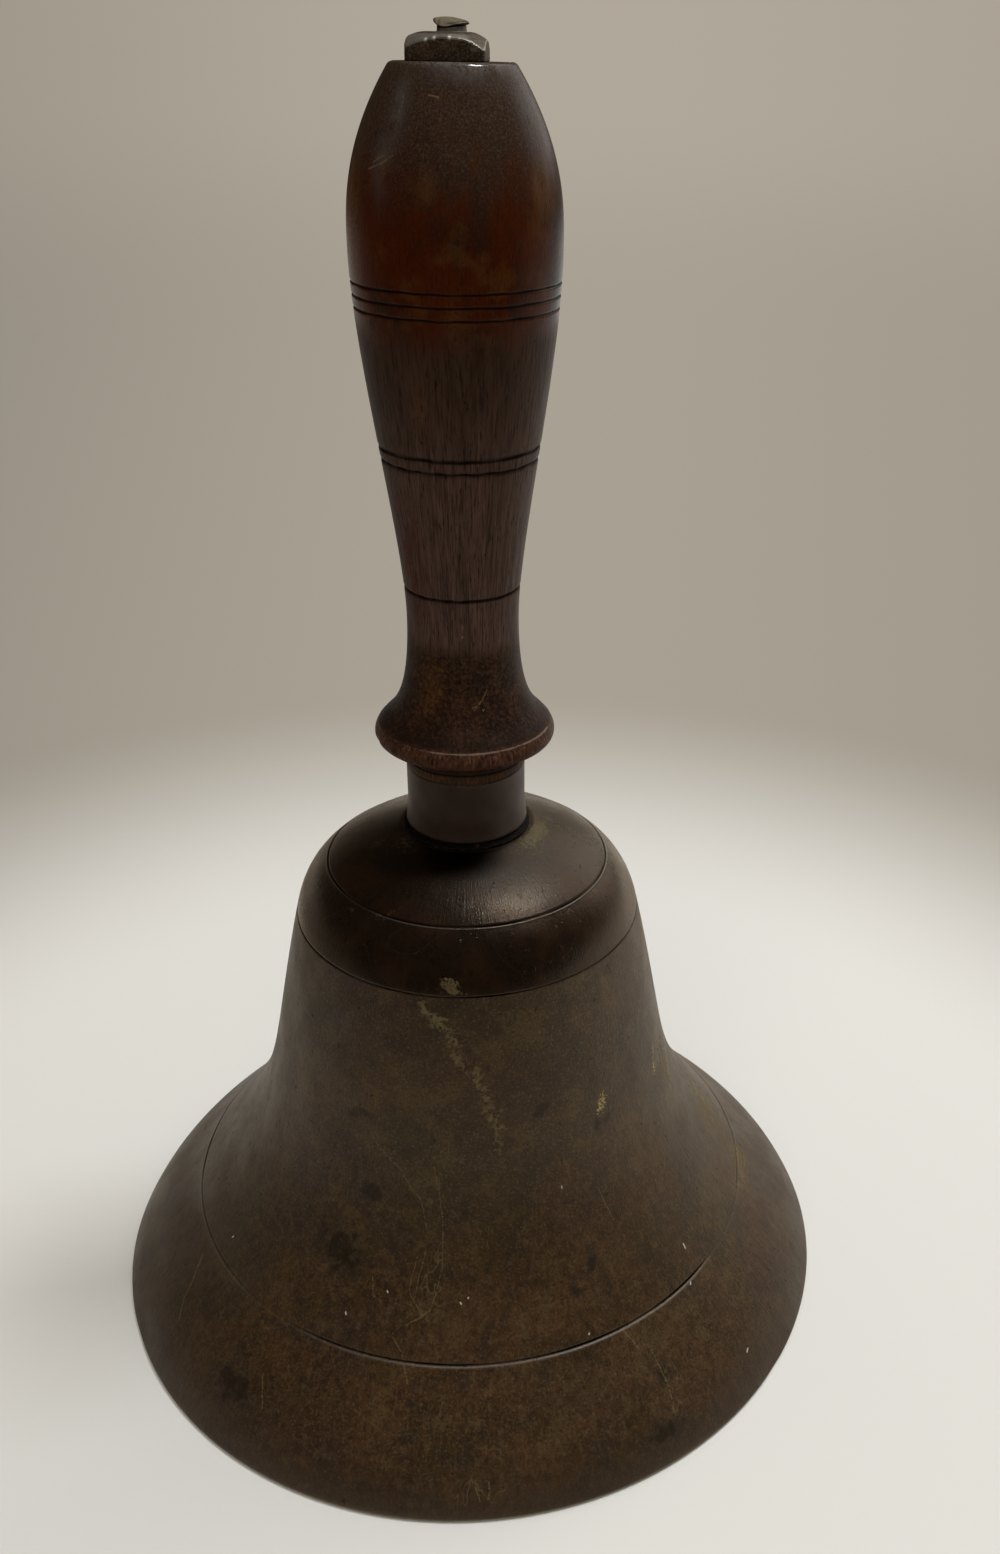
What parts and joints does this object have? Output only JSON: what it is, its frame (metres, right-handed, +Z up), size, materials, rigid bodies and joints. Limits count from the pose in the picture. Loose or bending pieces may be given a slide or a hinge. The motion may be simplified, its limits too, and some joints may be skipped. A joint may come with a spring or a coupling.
{
  "type": "hand bell",
  "caption": "School hand bell: a flared metal bell with turned lines, a ferrule, a turned wooden handle on a through rod with a square nut, and a clapper that swings on a pin.",
  "frame": {"origin": "middle of the bell's mouth, on the plane that the lip stands on", "axes": "+Z up along the axis of the bell and handle; the pictured side faces -Y; the clapper swings in the X-Z plane"},
  "size_m": [0.165, 0.165, 0.266],
  "materials": {
    "bell_metal": "dull brown patina",
    "ferrule_metal": "smooth dark satin",
    "handle_wood": "dark polish, worn dull in the middle",
    "leather": "blackened",
    "nut_iron": "dark, worn bright on its edges",
    "washer_iron": "dull",
    "rod_iron": "hammered end, dull",
    "fork_iron": "dull",
    "pin_steel": "dull",
    "clapper_iron": "dull, polished where it strikes"
  },
  "bodies": {
    "bell_and_handle": {"bell": "bell_metal", "leather_washer": "leather", "ferrule": "ferrule_metal", "handle": "handle_wood", "nut_washer": "washer_iron", "top_nut": "nut_iron", "centre_rod": "rod_iron", "crown_washer": "washer_iron", "crown_nut": "nut_iron", "clapper_fork": "fork_iron", "pivot_pin": "pin_steel", "pin_washer": "washer_iron", "split_pin": "pin_steel"},
    "clapper": {"clapper_stem": "clapper_iron", "clapper_ball": "clapper_iron"}
  },
  "joints": [
    {"name": "clapper_swing", "type": "hinge", "parent": "bell_and_handle", "child": "clapper", "pos_m": [0, 0, 0.08818], "axis": [0, 1, 0], "range_deg": [-34.4, 34.4]}
  ]
}
